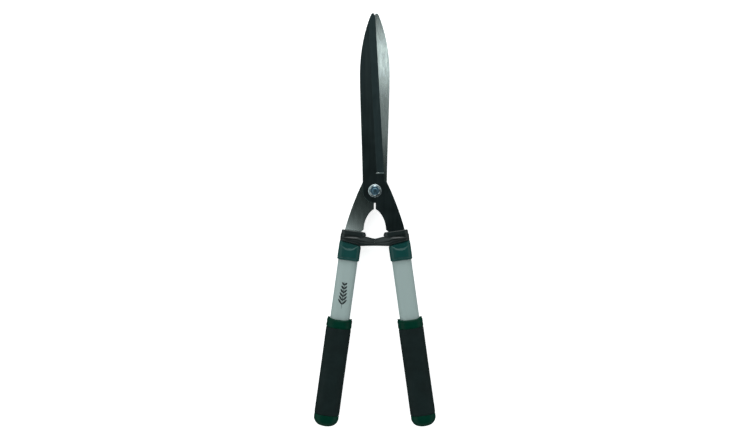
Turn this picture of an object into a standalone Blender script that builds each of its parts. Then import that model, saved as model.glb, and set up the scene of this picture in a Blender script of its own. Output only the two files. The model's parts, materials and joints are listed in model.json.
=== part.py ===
"""Hedge shears, closed and lying flat with the nut side up.

The tool is two equal halves, one of them turned over, on one pivot bolt. Each half is a blade
with its arm and tang, a buffer, a ferrule, a tube and a grip. +Y points to the blade tips, +X to
the right and +Z up. The origin is under the middle of the tool, on the plane it lies on.

Each half is modelled in its own frame: origin on the pivot axis, in the plane where the two blades
meet, with the half's handle towards +X. A handle has its own frame too: its -Y runs down the
handle, its +X points outwards, and distances down the handle are measured from the pivot's level.
"""

import math

import bmesh
import bpy
from mathutils import Matrix, Vector

MM = 0.001
GAP = 0.3 * MM

# Where the tool lies
PIVOT_Y = 41.0 * MM
HANDLE_THICKNESS = 26.0 * MM
BLADE_PLANE_Z = HANDLE_THICKNESS / 2

# Blade: outline sizes are from the pivot
BLADE_THICKNESS = 3.8 * MM
SPINE_WIDEST = 21.0 * MM
SPINE_WIDEST_Y = 160.0 * MM
HUB_RADIUS = 17.0 * MM
EDGE_TIP = Vector((0.85, 244.5)) * MM
EDGE_HEEL = Vector((13.35, 17.5)) * MM
GROUND_WIDTH = 10.4 * MM
GROUND_START = 7.0 * MM
EDGE_LAND = 0.35 * MM
SLIT_HALF = 1.2 * MM
THROAT_TOP_Y = -26.0 * MM
SHOULDER = Vector((15.7, -54.7)) * MM
TANG_WIDTH = 14.0 * MM
TANG_START = 63.5 * MM
TANG_END = 126.0 * MM

# Handle line
HANDLE_ANGLE = math.radians(7.9)
HANDLE_ROOT_X = 24.2 * MM

# Handle pieces: distances down the handle
COLLAR_TOP = 56.6 * MM
COLLAR_BOTTOM = 66.0 * MM
SOCKET_TOP = 74.0 * MM
SOCKET_SLOPE = 0.15
TUBE_TOP = 80.0 * MM
RIVET_DISTANCE = 89.0 * MM
FERRULE_BOTTOM = 98.6 * MM
PLUG_BOTTOM = 132.0 * MM
GRIP_TOP = 181.0 * MM
RING_LENGTH = 13.7 * MM
CAP_TOP = 317.3 * MM
HANDLE_END = 334.3 * MM
SPIGOT_LENGTH = 14.0 * MM

# Handle pieces: widths across, thicknesses through
TUBE_WIDTH = 27.5 * MM
TUBE_THICKNESS = 18.2 * MM
TUBE_WALL = 1.5 * MM
CORE_WALL = 1.6 * MM
FERRULE_WIDTH = 31.0 * MM
FERRULE_THICKNESS = 23.0 * MM
FERRULE_CORNER = 7.6 * MM
RING_WIDTH = 35.8 * MM
SLEEVE_WIDTH = 35.3 * MM
CAP_WIDTH = 34.9 * MM
CAP_WALL = 3.0 * MM
CAP_CORNER = 10.0 * MM
COLLAR_OUTER = 14.4 * MM
COLLAR_INNER = 20.6 * MM
COLLAR_THICKNESS = 25.0 * MM
WING_THICKNESS = 17.0 * MM
MOUTH_OUTER = 10.6 * MM
MOUTH_INNER = 13.6 * MM
RIVET_RADIUS = 2.5 * MM

# Pivot
BOLT_RADIUS = 4.0 * MM
BOLT_HEAD_RADIUS = 10.0 * MM
BOLT_HEAD_HEIGHT = 4.4 * MM
NECK_WIDTH = 8.0 * MM
HOLE_RADIUS = BOLT_RADIUS + GAP
WASHER_RADIUS = 9.6 * MM
WASHER_THICKNESS = 1.6 * MM
NUT_ACROSS_FLATS = 13.0 * MM
NUT_HEIGHT = 8.0 * MM
NUT_COLLAR_RADIUS = 6.0 * MM
NUT_COLLAR_HEIGHT = 1.7 * MM
INSERT_RADIUS = 5.1 * MM
INSERT_HEIGHT = 1.9 * MM

OVAL_SEGMENTS = 28
ROUND_STEPS = 32
FAR = 400.0 * MM


def clear_scene():
    for item in list(bpy.data.objects):
        bpy.data.objects.remove(item, do_unlink=True)


def make_collection(name):
    collection = bpy.data.collections.new(name)
    bpy.context.scene.collection.children.link(collection)
    return collection


def make_material(name, color, roughness, metallic=0.0):
    material = bpy.data.materials.new(name)
    material.use_nodes = True
    shader = material.node_tree.nodes["Principled BSDF"]
    shader.inputs["Base Color"].default_value = (*color, 1.0)
    shader.inputs["Roughness"].default_value = roughness
    shader.inputs["Metallic"].default_value = metallic
    return material


def add_empty(name, parent, location=(0, 0, 0), rotation=(0, 0, 0)):
    empty = bpy.data.objects.new(name, None)
    PARTS.objects.link(empty)
    empty.parent = parent
    empty.location = location
    empty.rotation_euler = rotation
    return empty


def add_part(name, mesh, parent, material):
    """One sub-part, with flat faces shaded flat and round ones smooth."""
    part = bpy.data.objects.new(name, mesh)
    PARTS.objects.link(part)
    part.parent = parent
    mesh.materials.append(material)
    mesh.shade_smooth()
    mesh.set_sharp_from_angle(angle=math.radians(35))
    return part


def add_cutter(name, mesh, parent):
    cutter = bpy.data.objects.new(name, mesh)
    CUTTERS.objects.link(cutter)
    cutter.parent = parent
    cutter.hide_render = True
    cutter.display_type = "WIRE"
    return cutter


def combine(part, tool, operation):
    modifier = part.modifiers.new(tool.name, "BOOLEAN")
    modifier.operation = operation
    modifier.object = tool
    modifier.solver = "EXACT"


def cut(part, cutter):
    combine(part, cutter, "DIFFERENCE")


def join(part, addition):
    combine(part, addition, "UNION")


def round_edges(part, width, segments=2, angle=60):
    modifier = part.modifiers.new("rounded edges", "BEVEL")
    modifier.width = width
    modifier.segments = segments
    modifier.limit_method = "ANGLE"
    modifier.angle_limit = math.radians(angle)
    modifier.use_clamp_overlap = True


def finish_mesh(name, bm):
    mesh = bpy.data.meshes.new(name)
    bm.to_mesh(mesh)
    bm.free()
    return mesh


def box_mesh(name, low, high):
    """A box between two corners."""
    low = Vector(low)
    high = Vector(high)
    size = Matrix.Diagonal((*(high - low), 1.0))
    bm = bmesh.new()
    bmesh.ops.create_cube(bm, size=1.0, matrix=Matrix.Translation((low + high) / 2) @ size)
    return finish_mesh(name, bm)


def rod_mesh(name, radius, bottom, top, center=(0, 0), segments=ROUND_STEPS):
    """An upright round bar between two heights."""
    bm = bmesh.new()
    place = Matrix.Translation((center[0], center[1], (bottom + top) / 2))
    bmesh.ops.create_cone(bm, cap_ends=True, segments=segments, radius1=radius, radius2=radius,
                          depth=top - bottom, matrix=place)
    return finish_mesh(name, bm)


def oval_mesh(name, width, thickness, top, bottom, corner=None):
    """A bar along the handle with round corners and a flat front and back.

    Without a corner radius its sides are half round.
    """
    corner = corner or thickness / 2
    bm = bmesh.new()
    half_step = math.pi / OVAL_SEGMENTS
    radius = corner / math.cos(half_step)
    bmesh.ops.create_cone(bm, cap_ends=True, segments=OVAL_SEGMENTS, radius1=radius, radius2=radius,
                          depth=bottom - top, matrix=Matrix.Rotation(half_step, 4, "Z"))
    for vert in bm.verts:
        vert.co.x += math.copysign(width / 2 - corner, vert.co.x)
        vert.co.y += math.copysign(thickness / 2 - corner, vert.co.y)
    along_handle = Matrix.Rotation(math.pi / 2, 4, "X")
    bm.transform(Matrix.Translation((0, -(top + bottom) / 2, 0)) @ along_handle)
    return finish_mesh(name, bm)


def plate_mesh(name, outline, bottom, top):
    """A flat outline given a thickness, between two heights."""
    curve = bpy.data.curves.new(name, "CURVE")
    curve.dimensions = "2D"
    curve.fill_mode = "BOTH"
    curve.extrude = (top - bottom) / 2
    spline = curve.splines.new("POLY")
    spline.points.add(len(outline) - 1)
    for point, (x, y) in zip(spline.points, outline):
        point.co = (x, y, 0.0, 1.0)
    spline.use_cyclic_u = True
    shape = bpy.data.objects.new(name, curve)
    CUTTERS.objects.link(shape)
    bpy.context.view_layer.update()
    evaluated = shape.evaluated_get(bpy.context.evaluated_depsgraph_get())
    mesh = bpy.data.meshes.new_from_object(evaluated)
    bpy.data.objects.remove(shape, do_unlink=True)
    bpy.data.curves.remove(curve)
    bm = bmesh.new()
    bm.from_mesh(mesh)
    bmesh.ops.remove_doubles(bm, verts=bm.verts, dist=0.001 * MM)
    bm.transform(Matrix.Translation((0, 0, (top + bottom) / 2)))
    bm.to_mesh(mesh)
    bm.free()
    return mesh


def turn_profile(part, steps=ROUND_STEPS):
    """Turns the profile in the part's XZ plane into a round solid."""
    modifier = part.modifiers.new("turned", "SCREW")
    modifier.steps = steps
    modifier.render_steps = steps
    modifier.use_merge_vertices = True
    modifier.merge_threshold = 0.01 * MM
    modifier.use_smooth_shade = True


def profile_mesh(name, profile, closed=False):
    """A chain of (radius, height) points in the XZ plane, for turning."""
    bm = bmesh.new()
    verts = [bm.verts.new((radius, 0, height)) for radius, height in profile]
    pairs = list(zip(verts, verts[1:]))
    if closed:
        pairs.append((verts[-1], verts[0]))
    for first, second in pairs:
        bm.edges.new((first, second))
    return finish_mesh(name, bm)


def arc(center, radius, start, end, steps):
    """Points on an arc, angles in degrees."""
    points = []
    for step in range(steps + 1):
        angle = math.radians(start + (end - start) * step / steps)
        points.append(Vector(center) + radius * Vector((math.cos(angle), math.sin(angle))))
    return points


def bezier(start, pull_a, pull_b, end, steps):
    """Points on a cubic curve, without its last one."""
    points = []
    for step in range(steps):
        t = step / steps
        s = 1 - t
        weights = (s ** 3, 3 * s * s * t, 3 * s * t * t, t ** 3)
        corners = (Vector(start), Vector(pull_a), Vector(pull_b), Vector(end))
        points.append(sum((w * c for w, c in zip(weights, corners)), Vector((0, 0))))
    return points


def mm_points(*pairs):
    return [Vector(pair) * MM for pair in pairs]


def on_handle(outwards, down):
    """A handle-frame place in the half's frame."""
    turn = Matrix.Rotation(HANDLE_ANGLE, 2)
    return Vector((HANDLE_ROOT_X, 0)) + turn @ Vector((outwards, -down))


def blade_outline():
    """Tip, down the spine, round the hub, down the arm to the tang and back up the cutting edge."""
    spine_tip = Vector((-5.3, 248.4)) * MM
    widest = Vector((-SPINE_WIDEST, SPINE_WIDEST_Y))
    spine_foot = Vector((-HUB_RADIUS, 0))
    points = bezier(EDGE_TIP, *mm_points((0.0, 249.8), (-2.6, 252.6)), spine_tip, 5)
    points += bezier(spine_tip, *mm_points((-11.0, 235.0), (-21.6, 203.0)), widest, 8)
    points += bezier(widest, *mm_points((-21.0, 130.0), (-17.0, 40.0)), spine_foot, 6)
    points += arc((0, 0), HUB_RADIUS, 180, 272, 10)
    points.append(Vector((SLIT_HALF, -HUB_RADIUS - 0.9 * MM)))
    throat = Vector((SLIT_HALF, THROAT_TOP_Y))
    points += bezier(throat, *mm_points((5.5, -27.6), (15.2, -38.0)), SHOULDER, 8)
    points.append(SHOULDER)
    half = TANG_WIDTH / 2
    chamfer = 3.0 * MM
    points.append(on_handle(-half, TANG_START))
    points.append(on_handle(-half, TANG_END - chamfer))
    points.append(on_handle(chamfer - half, TANG_END))
    points.append(on_handle(half - chamfer, TANG_END))
    points.append(on_handle(half, TANG_END - chamfer))
    points.append(on_handle(half, TANG_START))
    arm_foot, arm_top = mm_points((42.3, -55.5), (17.2, 11.8))
    points += bezier(arm_foot, *mm_points((37.0, -34.0), (25.5, -4.5)), arm_top, 8)
    points += bezier(arm_top, *mm_points((15.0, 12.6), (13.6, 13.8)), EDGE_HEEL, 4)
    points.append(EDGE_HEEL)
    return points


def ground_cutter(name, half):
    """The slab that grinds the long bevel along the cutting edge, rising inwards to full thickness."""
    rise = math.atan2(BLADE_THICKNESS - EDGE_LAND, GROUND_WIDTH)
    slab = box_mesh(name, (-3 * GROUND_WIDTH, 0, 0), (GROUND_WIDTH, FAR, GROUND_WIDTH))
    along = (EDGE_TIP - EDGE_HEEL).normalized()
    start = EDGE_HEEL + along * GROUND_START
    lean = math.atan2(-along.x, along.y)
    place = Matrix.Translation((start.x, start.y, GAP / 2 + EDGE_LAND))
    slab.transform(place @ Matrix.Rotation(lean, 4, "Z") @ Matrix.Rotation(rise, 4, "Y"))
    return add_cutter(name, slab, half)


def make_blade(name, half, handle, square_hole):
    bottom = GAP / 2
    mesh = plate_mesh(name, blade_outline(), bottom, bottom + BLADE_THICKNESS)
    blade = add_part(name, mesh, half, MATERIALS["blade"])
    cut(blade, ground_cutter(name + "_grinding", half))
    if square_hole:
        reach = NECK_WIDTH / 2 + GAP
        hole = box_mesh(name + "_hole", (-reach, -reach, -5 * MM), (reach, reach, 10 * MM))
    else:
        hole = rod_mesh(name + "_hole", HOLE_RADIUS, -5 * MM, 10 * MM)
    cut(blade, add_cutter(name + "_hole", hole, half))
    cut(blade, rivet_hole(name + "_rivet_hole", handle))
    return blade


def rivet_hole(name, handle):
    reach = FERRULE_THICKNESS
    rod = rod_mesh(name, RIVET_RADIUS + GAP, -reach, reach, (0, -RIVET_DISTANCE), 20)
    return add_cutter(name, rod, handle)


def tang_slot(name, handle, top, bottom):
    """The flat hole that the tang slides into."""
    reach = TANG_WIDTH / 2 + GAP
    low = (-reach, -bottom, GAP / 2 - GAP)
    high = (reach, -top, GAP / 2 + BLADE_THICKNESS + GAP)
    return add_cutter(name, box_mesh(name, low, high), handle)


def socket_plane(name, handle, keep_above, shift):
    """A big wedge on one side of the sloped joint between buffer and ferrule."""
    low_y, high_y = (-FAR, 0) if keep_above else (0, FAR)
    wedge = box_mesh(name, (-FAR, low_y, -FAR), (FAR, high_y, FAR))
    lean = Matrix.Rotation(math.atan(SOCKET_SLOPE), 4, "Z")
    wedge.transform(Matrix.Translation((0, -SOCKET_TOP + shift, 0)) @ lean)
    return add_cutter(name, wedge, handle)


def wing_outline():
    """The buffer's lower body: from the butt on the centre line out to the handle's far side."""
    butt_top, butt_foot = mm_points((GAP / 2 / MM, -67.4), (GAP / 2 / MM, -77.4))
    top_in, top_out, foot_out = mm_points((12.5, -64.6), (47.6, -65.6), (51.0, -84.0))
    foot_mid, heel, foot_in = mm_points((12.0, -77.6), (19.6, -79.1), (19.6, -84.0))
    points = [butt_foot, foot_mid, heel, foot_in, foot_out]
    points += bezier(top_out, *mm_points((40.0, -62.9), (24.0, -62.6)), top_in, 6)
    points += bezier(top_in, *mm_points((8.0, -65.2), (4.0, -67.0)), butt_top, 3)
    points.append(butt_top)
    return points


def make_buffer(name, half, handle):
    """Collar over the arm's root, with a wing that reaches the other handle's buffer."""
    wing = plate_mesh(name, wing_outline(), -WING_THICKNESS / 2, WING_THICKNESS / 2)
    buffer = add_part(name, wing, half, MATERIALS["buffer"])
    collar_center = (COLLAR_OUTER - COLLAR_INNER) / 2
    collar = oval_mesh(name + "_collar", COLLAR_OUTER + COLLAR_INNER, COLLAR_THICKNESS,
                       COLLAR_TOP, COLLAR_BOTTOM)
    collar.transform(Matrix.Translation((collar_center, 0, 0)))
    join(buffer, add_cutter(name + "_collar", collar, handle))
    seat = oval_mesh(name + "_seat", FERRULE_WIDTH - GAP, FERRULE_THICKNESS, COLLAR_BOTTOM - MM,
                     FERRULE_BOTTOM, FERRULE_CORNER)
    join(buffer, add_cutter(name + "_seat", seat, handle))
    cut(buffer, socket_plane(name + "_foot", handle, True, GAP / 2))
    mouth_low = (-MOUTH_INNER, -TANG_START - GAP, -GAP / 2)
    mouth_high = (MOUTH_OUTER, -COLLAR_TOP + MM, GAP / 2 + BLADE_THICKNESS + GAP)
    cut(buffer, add_cutter(name + "_mouth", box_mesh(name + "_mouth", mouth_low, mouth_high), handle))
    cut(buffer, tang_slot(name + "_slot", handle, COLLAR_TOP, FERRULE_BOTTOM))
    return buffer


def make_ferrule(name, handle):
    """Moulded socket that caps the tube's end, with the tang through its top wall."""
    body = oval_mesh(name, FERRULE_WIDTH, FERRULE_THICKNESS, COLLAR_TOP, FERRULE_BOTTOM, FERRULE_CORNER)
    ferrule = add_part(name, body, handle, MATERIALS["green"])
    round_edges(ferrule, 1.5 * MM)
    cut(ferrule, socket_plane(name + "_slope", handle, False, -GAP / 2))
    bore = oval_mesh(name + "_bore", TUBE_WIDTH + 2 * GAP, TUBE_THICKNESS + 2 * GAP, TUBE_TOP - GAP,
                     GRIP_TOP)
    cut(ferrule, add_cutter(name + "_bore", bore, handle))
    cut(ferrule, tang_slot(name + "_slot", handle, COLLAR_TOP, FERRULE_BOTTOM))
    return ferrule


def make_tube(name, handle):
    tube = add_part(name, oval_mesh(name, TUBE_WIDTH, TUBE_THICKNESS, TUBE_TOP, CAP_TOP - GAP), handle,
                    MATERIALS["tube"])
    inside = oval_mesh(name + "_inside", TUBE_WIDTH - 2 * TUBE_WALL, TUBE_THICKNESS - 2 * TUBE_WALL, 0, FAR)
    cut(tube, add_cutter(name + "_inside", inside, handle))
    cut(tube, rivet_hole(name + "_rivet_hole", handle))
    return tube


def make_tang_plug(name, handle):
    shrink = 2 * (TUBE_WALL + GAP)
    mesh = oval_mesh(name, TUBE_WIDTH - shrink, TUBE_THICKNESS - shrink, TUBE_TOP, PLUG_BOTTOM)
    plug = add_part(name, mesh, handle, MATERIALS["plug"])
    cut(plug, tang_slot(name + "_slot", handle, COLLAR_TOP, TANG_END + GAP))
    cut(plug, rivet_hole(name + "_rivet_hole", handle))
    return plug


def make_rivet(name, handle):
    """Plain pin, flush with the tube's flats and covered by the ferrule."""
    half = TUBE_THICKNESS / 2
    pin = rod_mesh(name, RIVET_RADIUS, -half, half, (0, -RIVET_DISTANCE), 20)
    return add_part(name, pin, handle, MATERIALS["steel"])


def make_grip_core(name, handle):
    """Hard sleeve on the tube, with the ring that shows above the soft grip."""
    ring = oval_mesh(name, RING_WIDTH, HANDLE_THICKNESS, GRIP_TOP, GRIP_TOP + RING_LENGTH)
    core = add_part(name, ring, handle, MATERIALS["green"])
    round_edges(core, 1.5 * MM)
    outer = 2 * (GAP + CORE_WALL)
    sleeve = oval_mesh(name + "_sleeve", TUBE_WIDTH + outer, TUBE_THICKNESS + outer,
                       GRIP_TOP + RING_LENGTH / 2, CAP_TOP - GAP)
    join(core, add_cutter(name + "_sleeve", sleeve, handle))
    bore = oval_mesh(name + "_bore", TUBE_WIDTH + 2 * GAP, TUBE_THICKNESS + 2 * GAP, 0, FAR)
    cut(core, add_cutter(name + "_bore", bore, handle))
    return core


def make_grip(name, handle):
    """Soft outer sleeve of the grip."""
    mesh = oval_mesh(name, SLEEVE_WIDTH, HANDLE_THICKNESS, GRIP_TOP + RING_LENGTH + GAP, CAP_TOP - GAP)
    grip = add_part(name, mesh, handle, MATERIALS["grip"])
    room = 2 * (2 * GAP + CORE_WALL)
    bore = oval_mesh(name + "_bore", TUBE_WIDTH + room, TUBE_THICKNESS + room, 0, FAR)
    cut(grip, add_cutter(name + "_bore", bore, handle))
    return grip


def make_end_cap(name, handle):
    """Rounded cap with a hollow spigot inside the tube."""
    body = oval_mesh(name, CAP_WIDTH, HANDLE_THICKNESS, CAP_TOP, HANDLE_END)
    cap = add_part(name, body, handle, MATERIALS["green"])
    rim = cap.modifiers.new("rounded end", "BEVEL")
    rim.width = CAP_CORNER
    rim.segments = 5
    rim.limit_method = "WEIGHT"
    mark_end_rim(body)
    shrink = 2 * (TUBE_WALL + GAP)
    spigot = oval_mesh(name + "_spigot", TUBE_WIDTH - shrink, TUBE_THICKNESS - shrink,
                       CAP_TOP - SPIGOT_LENGTH, CAP_TOP + MM)
    join(cap, add_cutter(name + "_spigot", spigot, handle))
    shrink += 2 * CAP_WALL
    hollow = oval_mesh(name + "_hollow", TUBE_WIDTH - shrink, TUBE_THICKNESS - shrink, GRIP_TOP,
                       HANDLE_END - 2 * CAP_WALL)
    cut(cap, add_cutter(name + "_hollow", hollow, handle))
    return cap


def mark_end_rim(mesh):
    """Gives full bevel weight to the edges round the handle's end."""
    weights = mesh.attributes.new("bevel_weight_edge", "FLOAT", "EDGE")
    lowest = min(vert.co.y for vert in mesh.vertices)
    for edge in mesh.edges:
        ends = [mesh.vertices[index].co.y for index in edge.vertices]
        at_end = max(ends) - lowest < 0.01 * MM
        weights.data[edge.index].value = 1.0 if at_end else 0.0


def make_half(half_name, side, blade_name, turned_over):
    """One blade with everything on its handle."""
    turn = math.pi if turned_over else 0.0
    half = add_empty(half_name, None, (0, PIVOT_Y, BLADE_PLANE_Z), (0, turn, 0))
    handle = add_empty(side + "_handle", half, (HANDLE_ROOT_X, 0, 0), (0, 0, HANDLE_ANGLE))
    make_blade(blade_name, half, handle, turned_over)
    make_buffer(side + "_buffer", half, handle)
    make_ferrule(side + "_ferrule", handle)
    make_tang_plug(side + "_tang_plug", handle)
    make_rivet(side + "_rivet", handle)
    make_tube(side + "_tube", handle)
    make_grip_core(side + "_grip_core", handle)
    make_grip(side + "_grip", handle)
    make_end_cap(side + "_end_cap", handle)


def make_pivot():
    """Bolt from below through both blades, washer and locking nut on top."""
    pivot = add_empty("pivot", None, (0, PIVOT_Y, BLADE_PLANE_Z))
    blades_top = GAP / 2 + BLADE_THICKNESS
    washer_bottom = blades_top + GAP
    nut_bottom = washer_bottom + WASHER_THICKNESS + GAP
    nut_top = nut_bottom + NUT_HEIGHT
    make_bolt(pivot, -blades_top - GAP, nut_top + 0.3 * MM)
    make_washer(pivot, washer_bottom)
    make_nut(pivot, nut_bottom)
    make_insert(pivot, nut_top)


def make_bolt(pivot, head_top, end):
    """Low round head, square neck in the rear blade, plain shank."""
    head = BOLT_HEAD_RADIUS
    foot = head_top - BOLT_HEAD_HEIGHT
    tip = 1.0 * MM
    profile = [(0, end), (BOLT_RADIUS - tip, end), (BOLT_RADIUS, end - tip), (BOLT_RADIUS, head_top),
               (head, head_top), (head, head_top - 1.4 * MM)]
    dome = [(head * math.cos(a), head_top - 1.4 * MM - 2.2 * MM * math.sin(a))
            for a in (math.radians(22), math.radians(42))]
    profile += dome
    profile += [(head * 0.55, foot), (0, foot)]
    bolt = add_part("pivot_bolt", profile_mesh("pivot_bolt", profile), pivot, MATERIALS["zinc"])
    turn_profile(bolt)
    reach = NECK_WIDTH / 2
    neck = box_mesh("bolt_neck", (-reach, -reach, head_top - MM), (reach, reach, -GAP))
    join(bolt, add_cutter("bolt_neck", neck, pivot))


def make_washer(pivot, bottom):
    top = bottom + WASHER_THICKNESS
    edge = 0.25 * MM
    profile = [(HOLE_RADIUS, top), (WASHER_RADIUS - edge, top), (WASHER_RADIUS, top - edge),
               (WASHER_RADIUS, bottom), (HOLE_RADIUS, bottom)]
    washer = add_part("pivot_washer", profile_mesh("pivot_washer", profile, True), pivot, MATERIALS["zinc"])
    turn_profile(washer)


def make_nut(pivot, bottom):
    """Hexagon with chamfered corners and a round collar that holds the nylon ring."""
    top = bottom + NUT_HEIGHT
    corner = NUT_ACROSS_FLATS / math.sqrt(3)
    hexagon = rod_mesh("pivot_nut", corner, bottom, top, (0, 0), 6)
    nut = add_part("pivot_nut", hexagon, pivot, MATERIALS["zinc"])
    shoulder = top - NUT_COLLAR_HEIGHT
    profile = [(0, top + MM), (NUT_COLLAR_RADIUS - 0.5 * MM, top + MM), (NUT_COLLAR_RADIUS - 0.5 * MM, top),
               (NUT_COLLAR_RADIUS, top - 0.5 * MM), (NUT_COLLAR_RADIUS, shoulder),
               (NUT_ACROSS_FLATS / 2 - 0.1 * MM, shoulder), (corner, shoulder - 0.6 * MM),
               (corner, bottom + 0.6 * MM), (NUT_ACROSS_FLATS / 2, bottom - 0.1 * MM),
               (0, bottom - 0.1 * MM)]
    envelope = add_cutter("nut_envelope", profile_mesh("nut_envelope", profile), pivot)
    turn_profile(envelope)
    combine(nut, envelope, "INTERSECT")
    cut(nut, add_cutter("nut_bore", rod_mesh("nut_bore", HOLE_RADIUS, bottom - MM, top + MM), pivot))
    recess_bottom = top - INSERT_HEIGHT - GAP
    recess = rod_mesh("nut_recess", INSERT_RADIUS + 0.5 * GAP, recess_bottom, top + MM)
    cut(nut, add_cutter("nut_recess", recess, pivot))


def make_insert(pivot, nut_top):
    top = nut_top - 0.2 * MM
    bottom = nut_top - INSERT_HEIGHT
    profile = [(HOLE_RADIUS, top), (INSERT_RADIUS - GAP / 2, top), (INSERT_RADIUS - GAP / 2, bottom),
               (HOLE_RADIUS, bottom)]
    insert = add_part("nut_insert", profile_mesh("nut_insert", profile, True), pivot, MATERIALS["nylon"])
    turn_profile(insert)


def make_materials():
    return {
        "blade": make_material("coated blade steel", (0.018, 0.024, 0.024), 0.42, 0.6),
        "buffer": make_material("buffer rubber", (0.012, 0.014, 0.015), 0.6),
        "green": make_material("green plastic", (0.004, 0.045, 0.030), 0.4),
        "tube": make_material("silver tube", (0.45, 0.52, 0.51), 0.38, 0.7),
        "plug": make_material("plug plastic", (0.03, 0.03, 0.03), 0.6),
        "steel": make_material("rivet steel", (0.5, 0.5, 0.5), 0.35, 1.0),
        "grip": make_material("grip rubber", (0.010, 0.016, 0.016), 0.75),
        "zinc": make_material("zinc plate", (0.62, 0.66, 0.68), 0.3, 1.0),
        "nylon": make_material("blue nylon", (0.03, 0.09, 0.28), 0.45),
    }


clear_scene()
PARTS = make_collection("hedge_shears")
CUTTERS = make_collection("cutters")
MATERIALS = make_materials()
make_half("rear_half", "left", "rear_blade", True)
make_half("front_half", "right", "front_blade", False)
make_pivot()
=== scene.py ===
"""Hedge shears, closed and lying flat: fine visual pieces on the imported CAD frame.

The tool is two equal halves on one pivot bolt, the left one turned over. As in the CAD model, each
half has a frame with its origin on the pivot axis, in the plane where the blades meet, and each
handle has one whose -Y runs down the handle and whose +X points outwards. Distances down a handle
are measured from the pivot's level. Sizes are in millimetres and become metres in the mesh code.
"""

import json
import math

import bmesh
import bpy
from mathutils import Matrix, Vector

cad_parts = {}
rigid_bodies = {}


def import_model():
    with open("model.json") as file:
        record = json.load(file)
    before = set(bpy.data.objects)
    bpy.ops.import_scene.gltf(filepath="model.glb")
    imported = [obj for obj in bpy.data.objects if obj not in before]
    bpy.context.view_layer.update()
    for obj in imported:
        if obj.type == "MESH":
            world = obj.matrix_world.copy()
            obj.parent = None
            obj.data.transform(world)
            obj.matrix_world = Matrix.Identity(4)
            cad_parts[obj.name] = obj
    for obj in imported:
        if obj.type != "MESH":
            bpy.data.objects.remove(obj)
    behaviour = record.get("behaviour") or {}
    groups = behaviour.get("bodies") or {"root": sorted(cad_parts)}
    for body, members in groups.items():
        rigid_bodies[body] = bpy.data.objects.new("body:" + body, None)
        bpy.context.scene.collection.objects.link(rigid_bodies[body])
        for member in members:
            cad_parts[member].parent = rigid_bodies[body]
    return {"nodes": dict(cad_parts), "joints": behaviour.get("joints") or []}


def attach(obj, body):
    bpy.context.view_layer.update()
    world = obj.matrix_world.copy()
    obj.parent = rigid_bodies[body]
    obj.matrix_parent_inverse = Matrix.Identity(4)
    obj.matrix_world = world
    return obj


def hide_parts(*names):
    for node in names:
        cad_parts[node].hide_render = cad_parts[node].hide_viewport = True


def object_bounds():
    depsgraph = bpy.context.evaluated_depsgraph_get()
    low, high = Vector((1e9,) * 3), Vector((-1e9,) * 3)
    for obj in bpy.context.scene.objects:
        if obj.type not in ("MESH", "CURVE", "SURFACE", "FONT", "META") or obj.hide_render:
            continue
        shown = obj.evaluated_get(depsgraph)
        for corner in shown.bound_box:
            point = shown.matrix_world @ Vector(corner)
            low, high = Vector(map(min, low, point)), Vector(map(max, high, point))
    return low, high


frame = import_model()
cad_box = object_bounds()

MM = 0.001
GAP = 0.3
PIVOT = Vector(frame["joints"][0]["pos_m"])

# Blade, from the pivot
BLADE_THICKNESS = 3.8
BLADE_TOP = GAP / 2 + BLADE_THICKNESS
SPINE_WIDEST = (-21.0, 160.0)
HUB_RADIUS = 17.0
EDGE_TIP = (0.85, 244.5)
EDGE_HEEL = (13.35, 17.5)
GROUND_WIDTH = 10.4
GROUND_START = 7.0
EDGE_LAND = 0.35
GROUND_ANGLE = math.atan2(BLADE_THICKNESS - EDGE_LAND, GROUND_WIDTH)
SLIT_HALF = 1.2
THROAT_TOP_Y = -26.0
SHOULDER = (15.7, -54.7)
TANG_WIDTH = 14.0
TANG_START = 63.5
TANG_END = 126.0

# Pivot, with the washer and the nut above the blades
HOLE_RADIUS = 4.3
WASHER_THICKNESS = 1.6
NUT_ACROSS_FLATS = 13.0
NUT_HEIGHT = 8.0

# Handle line, and distances down the handle
HANDLE_ANGLE = math.radians(7.9)
HANDLE_ROOT_X = 24.2
COLLAR_TOP = 56.6
SOCKET_TOP = 73.6
TUBE_TOP = 80.0
RIVET_DISTANCE = 89.0
RIVET_HOLE_RADIUS = 2.8
FERRULE_BOTTOM = 98.6
GRIP_TOP = 181.0
RING_LENGTH = 13.7
CAP_TOP = 317.3
HANDLE_END = 334.3

# Cross sections of the handle pieces: width, thickness, corner radius
TUBE_SECTION = (27.5, 18.2, 8.9)
FERRULE_SECTION = (31.0, 23.0, 7.6)
RING_SECTION = (35.8, 26.0, 12.6)
GRIP_SECTION = (35.3, 26.0, 12.6)
CAP_SECTION = (34.9, 26.0, 12.6)
COLLAR_SECTION = (35.0, 25.0, 6.5)
COLLAR_SHIFT = -3.1

# Steps round the outlines. A panel's are pairs: the place along the flat, and 1 where it is raised.
CORNER_STEPS = 9
FLAT_STEPS = 6
PANEL_STEPS = ((0.01, 0), (0.05, 1), (0.3, 1), (0.7, 1), (0.95, 1), (0.99, 0))
ROUND_STEPS = 64

# Frames of the halves, and of a handle in its half
FRONT_HALF = Matrix.Translation(PIVOT)
REAR_HALF = FRONT_HALF @ Matrix.Rotation(math.pi, 4, "Y")
HANDLE = Matrix.Translation((HANDLE_ROOT_X * MM, 0, 0)) @ Matrix.Rotation(HANDLE_ANGLE, 4, "Z")


# Meshes

def finish_mesh(name, bm):
    """A mesh with its faces turned outwards."""
    bmesh.ops.recalc_face_normals(bm, faces=bm.faces)
    mesh = bpy.data.meshes.new(name)
    bm.to_mesh(mesh)
    bm.free()
    return mesh


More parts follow.
